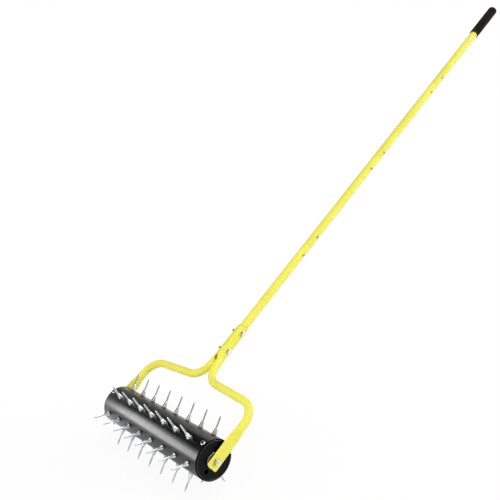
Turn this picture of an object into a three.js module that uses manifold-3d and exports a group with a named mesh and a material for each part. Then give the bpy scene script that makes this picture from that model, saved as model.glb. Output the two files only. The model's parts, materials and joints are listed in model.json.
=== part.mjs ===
// Rolling spike aerator: a drum with six rows of spikes that turns in a forked yoke on a long pole.
// X runs along the drum's axle, Y towards the grip and Z up. Lengths are in millimetres.
// Left is the -X end and right is the +X end.
import * as THREE from 'three';
import { mergeVertices } from 'three/addons/utils/BufferGeometryUtils.js';
import Module from 'manifold-3d';

const wasm = await Module();
wasm.setup();

// Fits
const GAP = 0.3; // between pieces that touch, slide or turn on each other
const OVERRUN = 6; // how far a cutter runs past what it cuts
const SEAM_GAP = 1; // between the two half shells of the yoke

// Stance: the drum stands on two rows of spikes and the handle is raised
const HANDLE_INCLINE = THREE.MathUtils.degToRad(37.2);

// Drum
const DRUM_LENGTH = 457; // the tube, without its end caps
const DRUM_RADIUS = 52.5;
const DRUM_WALL = 2;

// End cap
const CAP_RIM = 3.6; // part of the cap that stands out of the drum
const CAP_GROOVE = 0.8; // dark line between the rim and the drum
const CAP_ROUND = 2.6; // rounding of the rim
const CAP_FACE_THICKNESS = 3;
const CAP_SKIRT_WALL = 2.5;
const CAP_SKIRT_DEPTH = 18.5; // from the cap's face to the end of its skirt
const CAP_BOSS_WALL = 2.7; // round the bearing
const CAP_LIP_THICKNESS = 2; // behind the bearing
const CAP_LIP_REACH = 4;
const CAP_HOLE_RADIUS = 6;
const CAP_HOLE_FROM_AXLE = 32;
const CAP_HOLE_ANGLE = THREE.MathUtils.degToRad(221);

// Sealed ball bearing
const BEARING_RADIUS = 21;
const BEARING_BORE_RADIUS = 10;
const BEARING_WIDTH = 12;
const BEARING_PROUD = 2; // how far it stands out of the cap
const BALL_COUNT = 9;
const BALL_RADIUS = 3.2;
const OUTER_LAND_RADIUS = 17.4;
const INNER_LAND_RADIUS = 13.6;
const CAGE_THICKNESS = 1.6;
const CAGE_WIDTH = 4.6;
const SEAL_THICKNESS = 1;
const SEAL_RECESS = 0.4;

// Hex flange screws that hold the caps
const CAP_SCREW_FROM_END = 11.5; // from the cap's face
const CAP_SCREW_TURN = THREE.MathUtils.degToRad(-6); // from the row of spikes beside it
const CAP_SCREW_RADIUS = 2.4;
const CAP_SCREW_LENGTH = 9; // below its flange
const CAP_SCREW_FLANGE_RADIUS = 5.7;
const CAP_SCREW_FLANGE_THICKNESS = 1.2;
const CAP_SCREW_HEX_WIDTH = 8;
const CAP_SCREW_HEX_HEIGHT = 4.2;

// Spikes
const ROW_COUNT = 6;
const FULL_ROW_SPIKE_COUNT = 8;
const SHORT_ROW_SPIKE_COUNT = 7;
const SPIKE_FROM_END = 29; // from the end of the tube to the first spike of a full row
const SPIKE_LENGTH = 49; // from the drum's surface to the tip
const SPIKE_FLANGE_WIDTH = 13; // across the flats of the hex
const SPIKE_FLANGE_THICKNESS = 3.5;
const SPIKE_COLLAR_BASE_RADIUS = 6.2;
const SPIKE_COLLAR_TOP_RADIUS = 3.6;
const SPIKE_COLLAR_HEIGHT = 13;
const SPIKE_SHANK_RADIUS = 2.3;
const SPIKE_POINT_LENGTH = 10;
const SPIKE_NOSE_RADIUS = 1.4; // where the point rounds over to its tip
const SPIKE_NOSE_LENGTH = 2.5;
const SPIKE_THREAD_RADIUS = 3;
const STRIP_WIDTH = 12;
const STRIP_THICKNESS = 3;

// Axle
const AXLE_RADIUS = 4;
const AXLE_END_PROUD = 2; // beyond its nuts
const AXLE_NUT_WIDTH = 13;
const AXLE_NUT_HEIGHT = 6.8;
const AXLE_WASHER_RADIUS = 8.5;
const AXLE_WASHER_THICKNESS = 1.6;
const BUSH_SHOULDER_RADIUS = 12;
const BUSH_SHOULDER_LENGTH = 3.5;

// Yoke arms
const ARM_TUBE_RADIUS = 11;
const ARM_WALL = 2;
const ARM_FLAT_WIDTH = 36;
const ARM_FLAT_THICKNESS = 4;
const ARM_FLAT_BELOW_AXLE = 20;
const ARM_FLAT_CORNER = 4;
const ARM_FLAT_ABOVE_AXLE = 66;
const ARM_KNEE_ALONG = 161; // first bend, measured along the handle from the axle
const ARM_SHOULDER_OFFSET = 43.5; // second bend
const ARM_SHOULDER_ALONG = 173;
const ARM_NECK_ALONG = 202; // third bend
const ARM_KNEE_BEND_RADIUS = 55;
const ARM_NECK_BEND_RADIUS = 50;
const CLAMP_START = 256;
const CLAMP_LENGTH = 100;
const CLAMP_WALL = 2.4;
const CLAMP_MORPH = 28; // length over which the tube becomes a half shell

// Cross bolts of the clamp
const YOKE_BOLT_RADIUS = 4;
const YOKE_BOLT_FROM_ENDS = 18; // from the ends of the clamp
const YOKE_BOLT_HEX_WIDTH = 13;
const YOKE_BOLT_HEAD_HEIGHT = 5.3;
const YOKE_NUT_HEIGHT = 6.8;
const YOKE_BOLT_END_PROUD = 2;

// Pole
const POLE_RADIUS = 12.5;
const POLE_WALL = 1.5;
const POLE_START = 259.5;
const POLE_FIRST_JOINT_HEIGHT = 684; // measured along the handle from the axle
const POLE_SECTION_LENGTH = 385;
const POLE_SECTION_COUNT = 4;
const HANDLE_TOP = 1892;
const SLEEVE_WALL = 1.5;
const SLEEVE_LENGTH = 120;

// Screws beside the pole's joints
const POLE_SCREW_FROM_JOINT = 38;
const POLE_SCREW_RADIUS = 2;
const POLE_SCREW_HEAD_RADIUS = 4;
const POLE_SCREW_HEAD_HEIGHT = 2;
const POLE_SCREW_END_PROUD = 1;
const POLE_NUT_WIDTH = 7;
const POLE_NUT_HEIGHT = 3.2;

// Grip
const GRIP_LENGTH = 151;
const GRIP_RADIUS = 15.5;
const GRIP_END_THICKNESS = 4;
const GRIP_ROUND = 8;
const GRIP_LIP_ROUND = 1.5;

// Numbers of sides
const DRUM_SIDES = 24;
const BEARING_SIDES = 16;
const BALL_SIDES = 5;
const BALL_RINGS = 3;
const TUBE_SIDES = 16;
const BORE_SIDES = 8;
const ROD_SIDES = 8;
const SPIKE_SIDES = 6;
const HEX_SIDES = 6;
const RIM_STEPS = 2;
const RACE_STEPS = 4;
const GRIP_STEPS = 3;
const KNEE_STEPS = 5;
const NECK_STEPS = 2;

// Places worked out from the sizes above
const TUBE_END = DRUM_LENGTH / 2;
const CAP_FACE = TUBE_END + CAP_GROOVE + CAP_RIM;
const SPIKE_PITCH = (DRUM_LENGTH - 2 * SPIKE_FROM_END) / (FULL_ROW_SPIKE_COUNT - 1);
const SKIRT_RADIUS = DRUM_RADIUS - DRUM_WALL - GAP;
const POCKET_RADIUS = BEARING_RADIUS + GAP;
const BEARING_OUTER_FACE = CAP_FACE + BEARING_PROUD;
const BEARING_INNER_FACE = BEARING_OUTER_FACE - BEARING_WIDTH;
const BEARING_MIDDLE = (BEARING_OUTER_FACE + BEARING_INNER_FACE) / 2;
const BALL_PITCH_RADIUS = (OUTER_LAND_RADIUS + INNER_LAND_RADIUS) / 2;
const CAP_SCREW_PLACE = CAP_FACE - CAP_SCREW_FROM_END;
const ARM_INNER_FACE = BEARING_OUTER_FACE + GAP + BUSH_SHOULDER_LENGTH + GAP;
const ARM_OFFSET = ARM_INNER_FACE + ARM_FLAT_THICKNESS / 2;
const ARM_OUTER_FACE = ARM_INNER_FACE + ARM_FLAT_THICKNESS;
const AXLE_NUT_FACE = ARM_OUTER_FACE + GAP + AXLE_WASHER_THICKNESS + GAP;
const AXLE_END = AXLE_NUT_FACE + AXLE_NUT_HEIGHT + AXLE_END_PROUD;
const ARM_NECK_OFFSET = ARM_TUBE_RADIUS + SEAM_GAP / 2;
const SHELL_FACET = Math.PI / (TUBE_SIDES / 2 - 1);
const SHELL_INNER_RADIUS = (POLE_RADIUS + GAP) / Math.cos(SHELL_FACET / 2);
const SHELL_OUTER_RADIUS = SHELL_INNER_RADIUS + CLAMP_WALL;
const SHELL_SIDE = SEAM_GAP / 2 + SHELL_OUTER_RADIUS;
const CLAMP_END = CLAMP_START + CLAMP_LENGTH;
const YOKE_BOLTS = {
  lower: CLAMP_START + YOKE_BOLT_FROM_ENDS,
  upper: CLAMP_END - YOKE_BOLT_FROM_ENDS,
};
const POLE_JOINTS = Array.from({ length: POLE_SECTION_COUNT - 1 },
  (_, index) => POLE_FIRST_JOINT_HEIGHT + index * POLE_SECTION_LENGTH);
const POLE_TOP = HANDLE_TOP - GRIP_END_THICKNESS - GAP;
const POLE_SCREWS = POLE_JOINTS.map((joint) => ({
  lower: joint - POLE_SCREW_FROM_JOINT,
  upper: joint + POLE_SCREW_FROM_JOINT,
}));
const SLEEVE_RADIUS = POLE_RADIUS - POLE_WALL - GAP;
const SIDES = { left: -1, right: 1 };

// Materials
const finish = (color, roughness, metalness) => (
  new THREE.MeshStandardMaterial({ color, roughness, metalness })
);
const yellowPaint = finish('#e8dd42', 0.38, 0);
const drumBlack = finish('#1d1d1e', 0.42, 0);
const capBlack = finish('#19191b', 0.5, 0);
const chrome = finish('#cfd2d4', 0.22, 1);
const zinc = finish('#c2c6c8', 0.32, 1);
const bearingSteel = finish('#d5d7d8', 0.2, 1);
const plainSteel = finish('#8d9092', 0.45, 1);
const sealRubber = finish('#121213', 0.7, 0);
const gripRubber = finish('#1a1a1b', 0.75, 0);

// Solids from geometry and back

// Joins equal points and drops the triangles that have shrunk to a line.
function tidy(geometry) {
  const bare = geometry.clone();
  bare.deleteAttribute('normal');
  bare.deleteAttribute('uv');
  const merged = mergeVertices(bare);
  const kept = [];
  const index = merged.index.array;
  for (let i = 0; i < index.length; i += 3) {
    const [a, b, c] = [index[i], index[i + 1], index[i + 2]];
    if (a !== b && b !== c && c !== a) kept.push(a, b, c);
  }
  merged.setIndex(kept);
  return merged;
}

function signedVolume(geometry) {
  const position = geometry.attributes.position;
  const index = geometry.index.array;
  const corner = [new THREE.Vector3(), new THREE.Vector3(), new THREE.Vector3()];
  let total = 0;
  for (let i = 0; i < index.length; i += 3) {
    corner.forEach((point, j) => point.fromBufferAttribute(position, index[i + j]));
    total += corner[0].dot(corner[1].clone().cross(corner[2]));
  }
  return total;
}

function solid(geometry) {
  const shape = tidy(geometry);
  const triVerts = Uint32Array.from(shape.index.array);
  if (signedVolume(shape) < 0) triVerts.reverse();
  const vertProperties = shape.attributes.position.array;
  return new wasm.Manifold(new wasm.Mesh({ numProp: 3, vertProperties, triVerts }));
}

function toGeometry(manifold) {
  const { vertProperties, triVerts } = manifold.getMesh();
  const geometry = new THREE.BufferGeometry();
  geometry.setAttribute('position', new THREE.BufferAttribute(vertProperties, 3));
  geometry.setIndex(new THREE.BufferAttribute(triVerts, 1));
  geometry.computeVertexNormals();
  return geometry;
}

// A turned shape about Y. Each profile point is [radius, height].
function turned(profile, sides) {
  const points = profile.map(([radius, height]) => new THREE.Vector2(radius, height));
  return new THREE.LatheGeometry(points, sides);
}

// A ring about Y between two radii and two heights.
function ring(inner, outer, low, high, sides) {
  return turned([[inner, low], [outer, low], [outer, high], [inner, high], [inner, low]], sides);
}

// A rod or a prism about Y between two heights.
function rod(radius, low, high, sides) {
  return new THREE.CylinderGeometry(radius, radius, high - low, sides).translate(0, (low + high) / 2, 0);
}

// Turns a shape that was made about Y so that it lies along X.
function alongX(geometry) {
  return geometry.rotateZ(-Math.PI / 2);
}

const hexRadius = (acrossFlats) => acrossFlats / (2 * Math.cos(Math.PI / HEX_SIDES));

// Points of an arc as [radius, height] pairs, from one angle to another.
function arc(centreRadius, centreHeight, radius, start, end, steps) {
  return Array.from({ length: steps + 1 }, (_, index) => {
    const angle = start + ((end - start) * index) / steps;
    return [centreRadius + radius * Math.cos(angle), centreHeight + radius * Math.sin(angle)];
  });
}

// Two groups carry the pieces: what turns with the drum and what is held with the handle

const drum = new THREE.Group();
const handle = new THREE.Group();
handle.rotation.x = HANDLE_INCLINE;

function place(group, name, geometry, material) {
  const mesh = new THREE.Mesh(geometry, material);
  mesh.name = name;
  group.add(mesh);
  return mesh;
}

// Adds the right-hand piece, and the same piece turned round for the left end.
function placePair(group, name, geometry, material) {
  place(group, `${name}_right`, geometry, material);
  place(group, `${name}_left`, geometry, material).rotation.y = Math.PI;
}

// Drum

const rowAngle = (row) => (row * 2 * Math.PI) / ROW_COUNT;
const isShortRow = (row) => row % 2 === 0;

// Each cap is held by one screw beside each short row, at the same angles at both ends.
const screwAngles = Array.from({ length: ROW_COUNT }, (_, row) => row)
  .filter(isShortRow)
  .map((row) => rowAngle(row) + CAP_SCREW_TURN);

function spikePlaces(row) {
  const count = isShortRow(row) ? SHORT_ROW_SPIKE_COUNT : FULL_ROW_SPIKE_COUNT;
  return Array.from({ length: count }, (_, index) => (index - (count - 1) / 2) * SPIKE_PITCH);
}

// A round cutter that points outwards from the axle at one angle.
function radialCutter(radius, low, high, along, angle, sides) {
  return solid(rod(radius, low, high, sides).translate(along, 0, 0).rotateX(angle));
}

function capScrewCutters(side) {
  const radius = CAP_SCREW_RADIUS + GAP;
  const low = DRUM_RADIUS - CAP_SCREW_LENGTH - OVERRUN;
  const high = DRUM_RADIUS + OVERRUN;
  const along = side * CAP_SCREW_PLACE;
  return screwAngles.map((angle) => radialCutter(radius, low, high, along, angle, SPIKE_SIDES));
}

function drumTube() {
  const inner = DRUM_RADIUS - DRUM_WALL;
  let tube = solid(alongX(ring(inner, DRUM_RADIUS, -TUBE_END, TUBE_END, DRUM_SIDES)));
  for (let row = 0; row < ROW_COUNT; row += 1) {
    for (const along of spikePlaces(row)) {
      const radius = SPIKE_THREAD_RADIUS + GAP;
      const high = DRUM_RADIUS + OVERRUN;
      tube = tube.subtract(radialCutter(radius, inner - OVERRUN, high, along, rowAngle(row), SPIKE_SIDES));
    }
  }
  for (const side of Object.values(SIDES)) {
    for (const cutter of capScrewCutters(side)) tube = tube.subtract(cutter);
  }
  return toGeometry(tube);
}

function endCap() {
  const lipFace = BEARING_INNER_FACE - GAP;
  const lipBack = lipFace - CAP_LIP_THICKNESS;
  const faceBack = CAP_FACE - CAP_FACE_THICKNESS;
  const rimRadius = DRUM_RADIUS - CAP_ROUND;
  const profile = [
    [POCKET_RADIUS, CAP_FACE],
    ...arc(rimRadius, CAP_FACE - CAP_ROUND, CAP_ROUND, Math.PI / 2, 0, RIM_STEPS),
    [DRUM_RADIUS, CAP_FACE - CAP_RIM],
    [SKIRT_RADIUS, CAP_FACE - CAP_RIM],
    [SKIRT_RADIUS, CAP_FACE - CAP_SKIRT_DEPTH],
    [SKIRT_RADIUS - CAP_SKIRT_WALL, CAP_FACE - CAP_SKIRT_DEPTH],
    [SKIRT_RADIUS - CAP_SKIRT_WALL, faceBack],
    [POCKET_RADIUS + CAP_BOSS_WALL, faceBack],
    [POCKET_RADIUS + CAP_BOSS_WALL, lipBack],
    [POCKET_RADIUS - CAP_LIP_REACH, lipBack],
    [POCKET_RADIUS - CAP_LIP_REACH, lipFace],
    [POCKET_RADIUS, lipFace],
    [POCKET_RADIUS, CAP_FACE],
  ];
  let cap = solid(alongX(turned(profile, DRUM_SIDES)));
  for (const cutter of capScrewCutters(SIDES.right)) cap = cap.subtract(cutter);
  const hole = alongX(rod(CAP_HOLE_RADIUS, faceBack - OVERRUN, CAP_FACE + OVERRUN, BORE_SIDES));
  hole.translate(0, CAP_HOLE_FROM_AXLE, 0).rotateX(CAP_HOLE_ANGLE);
  return toGeometry(cap.subtract(solid(hole)));
}

// Profile of a bearing race: the ball runs in the arc between the two lands.
function race(landRadius, outwards) {
  const track = BALL_RADIUS + GAP + GAP / 2;
  const rise = Math.abs(landRadius - BALL_PITCH_RADIUS);
  const reach = Math.acos(rise / track);
  const middle = outwards ? 0 : Math.PI;
  const turn = outwards ? reach : -reach;
  return arc(BALL_PITCH_RADIUS, BEARING_MIDDLE, track, middle + turn, middle - turn, RACE_STEPS);
}

function outerRing() {
  return alongX(turned([
    [OUTER_LAND_RADIUS, BEARING_INNER_FACE],
    [BEARING_RADIUS, BEARING_INNER_FACE],
    [BEARING_RADIUS, BEARING_OUTER_FACE],
    [OUTER_LAND_RADIUS, BEARING_OUTER_FACE],
    ...race(OUTER_LAND_RADIUS, true),
    [OUTER_LAND_RADIUS, BEARING_INNER_FACE],
  ], BEARING_SIDES));
}

function innerRing() {
  return alongX(turned([
    [BEARING_BORE_RADIUS, BEARING_INNER_FACE],
    [INNER_LAND_RADIUS, BEARING_INNER_FACE],
    ...race(INNER_LAND_RADIUS, false).reverse(),
    [INNER_LAND_RADIUS, BEARING_OUTER_FACE],
    [BEARING_BORE_RADIUS, BEARING_OUTER_FACE],
    [BEARING_BORE_RADIUS, BEARING_INNER_FACE],
  ], BEARING_SIDES));
}

// The balls are held in one ring by their cage.
function ballCage() {
  const inner = BALL_PITCH_RADIUS - CAGE_THICKNESS / 2;
  const outer = BALL_PITCH_RADIUS + CAGE_THICKNESS / 2;
  const low = BEARING_MIDDLE - CAGE_WIDTH / 2;
  let cage = solid(alongX(ring(inner, outer, low, low + CAGE_WIDTH, BEARING_SIDES)));
  for (let index = 0; index < BALL_COUNT; index += 1) {
    const ball = new THREE.SphereGeometry(BALL_RADIUS, BALL_SIDES, BALL_RINGS);
    ball.translate(BEARING_MIDDLE, BALL_PITCH_RADIUS, 0).rotateX((index * 2 * Math.PI) / BALL_COUNT);
    cage = cage.add(solid(ball));
  }
  return toGeometry(cage);
}

function seal(outerFace) {
  const inner = INNER_LAND_RADIUS + 2 * GAP;
  const outer = OUTER_LAND_RADIUS - GAP;
  return alongX(ring(inner, outer, outerFace - SEAL_THICKNESS, outerFace, BEARING_SIDES));
}

function capScrew() {
  const seat = DRUM_RADIUS + GAP;
  const flangeTop = seat + CAP_SCREW_FLANGE_THICKNESS;
  const body = turned([
    [0, seat - CAP_SCREW_LENGTH],
    [CAP_SCREW_RADIUS, seat - CAP_SCREW_LENGTH],
    [CAP_SCREW_RADIUS, seat],
    [CAP_SCREW_FLANGE_RADIUS, seat],
    [CAP_SCREW_FLANGE_RADIUS, flangeTop],
    [0, flangeTop],
  ], SPIKE_SIDES);
  const hexLow = seat + CAP_SCREW_FLANGE_THICKNESS / 2;
  const hex = rod(hexRadius(CAP_SCREW_HEX_WIDTH), hexLow, flangeTop + CAP_SCREW_HEX_HEIGHT, HEX_SIDES);
  return toGeometry(solid(body).add(solid(hex)));
}

// A spike along +Y with its flange on the drum: thread, hex flange, collar, shank and point.
function spike(threadEnd) {
  const seat = DRUM_RADIUS + GAP;
  const tip = DRUM_RADIUS + SPIKE_LENGTH;
  const flangeMiddle = seat + SPIKE_FLANGE_THICKNESS / 2;
  const flangeTop = seat + SPIKE_FLANGE_THICKNESS;
  const collarTop = flangeTop + SPIKE_COLLAR_HEIGHT;
  const stem = turned([
    [0, threadEnd],
    [SPIKE_THREAD_RADIUS, threadEnd],
    [SPIKE_THREAD_RADIUS, flangeMiddle],
    [SPIKE_COLLAR_BASE_RADIUS, flangeMiddle],
    [SPIKE_COLLAR_BASE_RADIUS, flangeTop],
    [SPIKE_COLLAR_TOP_RADIUS, collarTop],
    [SPIKE_SHANK_RADIUS, collarTop],
    [SPIKE_SHANK_RADIUS, tip - SPIKE_POINT_LENGTH],
    [SPIKE_NOSE_RADIUS, tip - SPIKE_NOSE_LENGTH],
    [0, tip],
  ], SPIKE_SIDES);
  const flange = rod(hexRadius(SPIKE_FLANGE_WIDTH), seat, flangeTop, HEX_SIDES);
  return solid(stem).add(solid(flange));
}

// One row of spikes on the strip that backs them inside the drum.
function spikeRow(row) {
  const places = spikePlaces(row);
  const boreRadius = (DRUM_RADIUS - DRUM_WALL) * Math.cos(Math.PI / DRUM_SIDES) - GAP;
  const stripTop = Math.sqrt(boreRadius ** 2 - (STRIP_WIDTH / 2) ** 2);
  const length = places[places.length - 1] - places[0] + STRIP_WIDTH;
  const strip = new THREE.BoxGeometry(length, STRIP_THICKNESS, STRIP_WIDTH);
  strip.translate(0, stripTop - STRIP_THICKNESS / 2, 0);
  let whole = solid(strip);
  const one = spike(stripTop - STRIP_THICKNESS / 2);
  for (const along of places) whole = whole.add(one.translate(along, 0, 0));
  return toGeometry(whole);
}

function buildDrum() {
  place(drum, 'drum_tube', drumTube(), drumBlack);
  const cap = endCap();
  place(drum, 'end_cap_right', cap, capBlack);
  // The left cap is the same piece turned round, and then on until its screw holes are at the screws.
  place(drum, 'end_cap_left', cap, capBlack).rotation.set(2 * CAP_SCREW_TURN, Math.PI, 0);
  placePair(drum, 'bearing_outer_ring', outerRing(), bearingSteel);
  placePair(drum, 'bearing_ball_cage', ballCage(), bearingSteel);
  placePair(drum, 'bearing_seal_outer', seal(BEARING_OUTER_FACE - SEAL_RECESS), sealRubber);
  placePair(drum, 'bearing_seal_inner', seal(BEARING_INNER_FACE + SEAL_RECESS + SEAL_THICKNESS), sealRubber);
  for (let row = 0; row < ROW_COUNT; row += 1) {
    place(drum, `spike_row_${row + 1}`, spikeRow(row), chrome).rotation.x = rowAngle(row);
  }
  const screw = capScrew();
  for (const [end, side] of Object.entries(SIDES)) {
    screwAngles.forEach((angle, index) => {
      const mesh = place(drum, `cap_screw_${end}_${index + 1}`, screw, zinc);
      mesh.position.x = side * CAP_SCREW_PLACE;
      mesh.rotation.x = angle;
    });
  }
}

// Yoke arms

// The path of the right arm's centre line: straight runs between bends. Each step has its place,
// its direction and the length of path that leads to it.
function armPath() {
  const corners = [
    [ARM_OFFSET, -ARM_FLAT_BELOW_AXLE],
    [ARM_OFFSET, ARM_KNEE_ALONG],
    [ARM_SHOULDER_OFFSET, ARM_SHOULDER_ALONG],
    [ARM_NECK_OFFSET, ARM_NECK_ALONG],
    [ARM_NECK_OFFSET, CLAMP_END],
  ].map(([x, y]) => new THREE.Vector2(x, y));
  const bends = [
    { radius: ARM_KNEE_BEND_RADIUS, steps: KNEE_STEPS },
    { radius: ARM_NECK_BEND_RADIUS, steps: NECK_STEPS },
    { radius: ARM_NECK_BEND_RADIUS, steps: NECK_STEPS },
  ];
  const path = [];
  bends.forEach(({ radius, steps }, index) => {
    const corner = corners[index + 1];
    const arriving = corner.clone().sub(corners[index]).normalize();
    const leaving = corners[index + 2].clone().sub(corner).normalize();
    const turn = Math.atan2(arriving.cross(leaving), arriving.dot(leaving));
    const start = corner.clone().addScaledVector(arriving, -radius * Math.tan(Math.abs(turn) / 2));
    const sideways = new THREE.Vector2(-arriving.y, arriving.x).multiplyScalar(Math.sign(turn) * radius);
    const centre = start.clone().add(sideways);
    for (let step = 0; step <= steps; step += 1) {
      const angle = (turn * step) / steps;
      const place = start.clone().rotateAround(centre, angle);
      path.push({ place, direction: arriving.clone().rotateAround(new THREE.Vector2(), angle) });
    }
  });
  return path;
}

// A closed section with one point for each side of the tube. Its first half faces outwards.
// The round tube blends into a flat strip or into a half shell round the pole.
function armSection({ flat = 0, shell = 0, width = ARM_FLAT_WIDTH, bore = false }) {
  const wall = bore ? ARM_WALL : 0;
  const half = TUBE_SIDES / 2;
  const points = [];
  for (let index = 0; index < TUBE_SIDES; index += 1) {
    const outwards = index < half;
    const angle = ((2 * index + 1 - half) * Math.PI) / (2 * half);
    const lastAngle = ((half - 1) * Math.PI) / (2 * half);
    const round = [Math.cos(angle), Math.sin(angle)].map((share) => share * (ARM_TUBE_RADIUS - wall));
    const strip = [
      (outwards ? 1 : -1) * (ARM_FLAT_THICKNESS / 2),
      (Math.sin(angle) / Math.sin(lastAngle)) * (width / 2),
    ];
    const foldedAngle = outwards ? angle : Math.PI - angle;
    const shellAngle = (foldedAngle / lastAngle) * (Math.PI / 2);
    const shellRadius = (outwards && !bore) ? SHELL_OUTER_RADIUS : SHELL_INNER_RADIUS - (bore ? GAP : 0);
    const seamSide = SEAM_GAP / 2 - ARM_NECK_OFFSET;
    const shellOut = (bore && !outwards) ? -OVERRUN : shellRadius * Math.cos(shellAngle);
    const shellPoint = [seamSide + shellOut, shellRadius * Math.sin(shellAngle)];
    const blend = (from, to, share) => from.map((value, axis) => value + (to[axis] - value) * share);
    points.push(blend(blend(round, strip, flat), shellPoint, shell));
  }
  return points;
}

// Skins a run of sections and closes both ends.
function loft(stations) {
  const vertices = [];
  for (const { place, direction, section } of stations) {
    for (const [across, high] of section) {
      vertices.push(place.x + direction.y * across, place.y - direction.x * across, high);
    }
  }
  const index = [];
  const count = TUBE_SIDES;
  for (let station = 0; station + 1 < stations.length; station += 1) {
    for (let side = 0; side < count; side += 1) {
      const a = station * count + side;
      const b = station * count + ((side + 1) % count);
      index.push(a, b, b + count, a, b + count, a + count);
    }
  }
  const capFaces = (section) => THREE.ShapeUtils.triangulateShape(
    section.map(([across, high]) => new THREE.Vector2(across, high)), []);
  for (const [a, b, c] of capFaces(stations[0].section)) index.push(c, b, a);
  const last = (stations.length - 1) * count;
  const lastFaces = capFaces(stations[stations.length - 1].section);
  for (const [a, b, c] of lastFaces) index.push(last + a, last + b, last + c);
  const geometry = new THREE.BufferGeometry();
  geometry.setAttribute('position', new THREE.Float32BufferAttribute(vertices, 3));
  geometry.setIndex(index);
  return solid(geometry);
}

function crossHole(radius, along) {
  const cutter = rod(radius + GAP, -ARM_OFFSET - OVERRUN, ARM_OFFSET + OVERRUN, BORE_SIDES);
  return solid(alongX(cutter).translate(0, along, 0));
}

function yokeArm() {
  const bends = armPath();
  const ahead = new THREE.Vector2(0, 1);
  const straight = (x, along) => ({ place: new THREE.Vector2(x, along), direction: ahead });
  const end = -ARM_FLAT_BELOW_AXLE;
  const roundStart = bends[0].place.y;
  const cornerShares = [[0, 1], [0.3, 0.3], [1, 0]];
  const stations = cornerShares.map(([upShare, inShare]) => ({
    ...straight(ARM_OFFSET, end + ARM_FLAT_CORNER * upShare),
    section: armSection({ flat: 1, width: ARM_FLAT_WIDTH - 2 * ARM_FLAT_CORNER * inShare }),
  }));
  const flareShares = [[0, 1], [0.25, 0.9], [0.55, 0.5], [0.8, 0.14]];
  for (const [upShare, flat] of flareShares) {
    const along = ARM_FLAT_ABOVE_AXLE + (roundStart - ARM_FLAT_ABOVE_AXLE) * upShare;
    stations.push({ ...straight(ARM_OFFSET, along), section: armSection({ flat }) });
  }
  for (const step of bends) stations.push({ ...step, section: armSection({}) });
  const morphShares = [[0, 0], [0.3, 0.22], [0.7, 0.78], [1, 1]];
  const morphStart = CLAMP_START - CLAMP_MORPH;
  for (const [upShare, shell] of morphShares) {
    const along = morphStart + CLAMP_MORPH * upShare;
    stations.push({ ...straight(ARM_NECK_OFFSET, along), section: armSection({ shell }) });
  }
  stations.push({ ...straight(ARM_NECK_OFFSET, CLAMP_END), section: armSection({ shell: 1 }) });

  const boreStations = bends.map((step) => ({ ...step, section: armSection({ bore: true }) }));
  for (const [upShare, shell] of morphShares) {
    const along = morphStart + CLAMP_MORPH * upShare;
    boreStations.push({ ...straight(ARM_NECK_OFFSET, along), section: armSection({ shell, bore: true }) });
  }
  let arm = loft(stations).subtract(loft(boreStations));
  arm = arm.subtract(crossHole(AXLE_RADIUS, 0));
  for (const along of Object.values(YOKE_BOLTS)) arm = arm.subtract(crossHole(YOKE_BOLT_RADIUS, along));
  return toGeometry(arm);
}

// Fasteners that lie along X

// A hex nut between two places along X.
function nut(acrossFlats, holeRadius, low, high) {
  const hex = solid(alongX(rod(hexRadius(acrossFlats), low, high, HEX_SIDES)));
  return toGeometry(hex.subtract(solid(alongX(rod(holeRadius, low - OVERRUN, high + OVERRUN, ROD_SIDES)))));
}

function buildAxle() {
  place(handle, 'axle_rod', alongX(rod(AXLE_RADIUS, -AXLE_END, AXLE_END, ROD_SIDES)), zinc);
  const hole = AXLE_RADIUS + GAP;
  const washerLow = ARM_OUTER_FACE + GAP;
  const washer = ring(hole, AXLE_WASHER_RADIUS, washerLow, washerLow + AXLE_WASHER_THICKNESS, TUBE_SIDES);
  placePair(handle, 'axle_washer', alongX(washer), zinc);
  const axleNut = nut(AXLE_NUT_WIDTH, hole, AXLE_NUT_FACE, AXLE_NUT_FACE + AXLE_NUT_HEIGHT);
  placePair(handle, 'axle_nut', axleNut, zinc);
  placePair(handle, 'bearing_inner_ring', innerRing(), bearingSteel);
  const bush = turned([
    [hole, BEARING_INNER_FACE],
    [BEARING_BORE_RADIUS - GAP, BEARING_INNER_FACE],
    [BEARING_BORE_RADIUS - GAP, BEARING_OUTER_FACE + GAP],
    [BUSH_SHOULDER_RADIUS, BEARING_OUTER_FACE + GAP],
    [BUSH_SHOULDER_RADIUS, ARM_INNER_FACE - GAP],
    [hole, ARM_INNER_FACE - GAP],
    [hole, BEARING_INNER_FACE],
  ], TUBE_SIDES);
  placePair(handle, 'spacer_bush', alongX(bush), plainSteel);
}

function buildYoke() {
  placePair(handle, 'yoke_arm', yokeArm(), yellowPaint);
  for (const [level, along] of Object.entries(YOKE_BOLTS)) {
    const headLow = SHELL_SIDE + GAP;
    const nutHigh = -SHELL_SIDE - GAP;
    const nutLow = nutHigh - YOKE_NUT_HEIGHT;
    const shankLow = nutLow - YOKE_BOLT_END_PROUD;
    const shank = solid(alongX(rod(YOKE_BOLT_RADIUS, shankLow, headLow + GAP, ROD_SIDES)));
    const headRadius = hexRadius(YOKE_BOLT_HEX_WIDTH);
    const head = solid(alongX(rod(headRadius, headLow, headLow + YOKE_BOLT_HEAD_HEIGHT, HEX_SIDES)));
    place(handle, `yoke_bolt_${level}`, toGeometry(shank.add(head)), zinc).position.y = along;
    const bored = nut(YOKE_BOLT_HEX_WIDTH, YOKE_BOLT_RADIUS + GAP, nutLow, nutHigh);
    place(handle, `yoke_nut_${level}`, bored, zinc).position.y = along;
  }
}

// Pole

function holedTube(innerRadius, outerRadius, low, high, holes) {
  let tube = solid(ring(innerRadius, outerRadius, low, high, TUBE_SIDES));
  for (const { radius, along } of holes) {
    if (along > low && along < high) tube = tube.subtract(crossHole(radius, along));
  }
  return toGeometry(tube);
}

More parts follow.
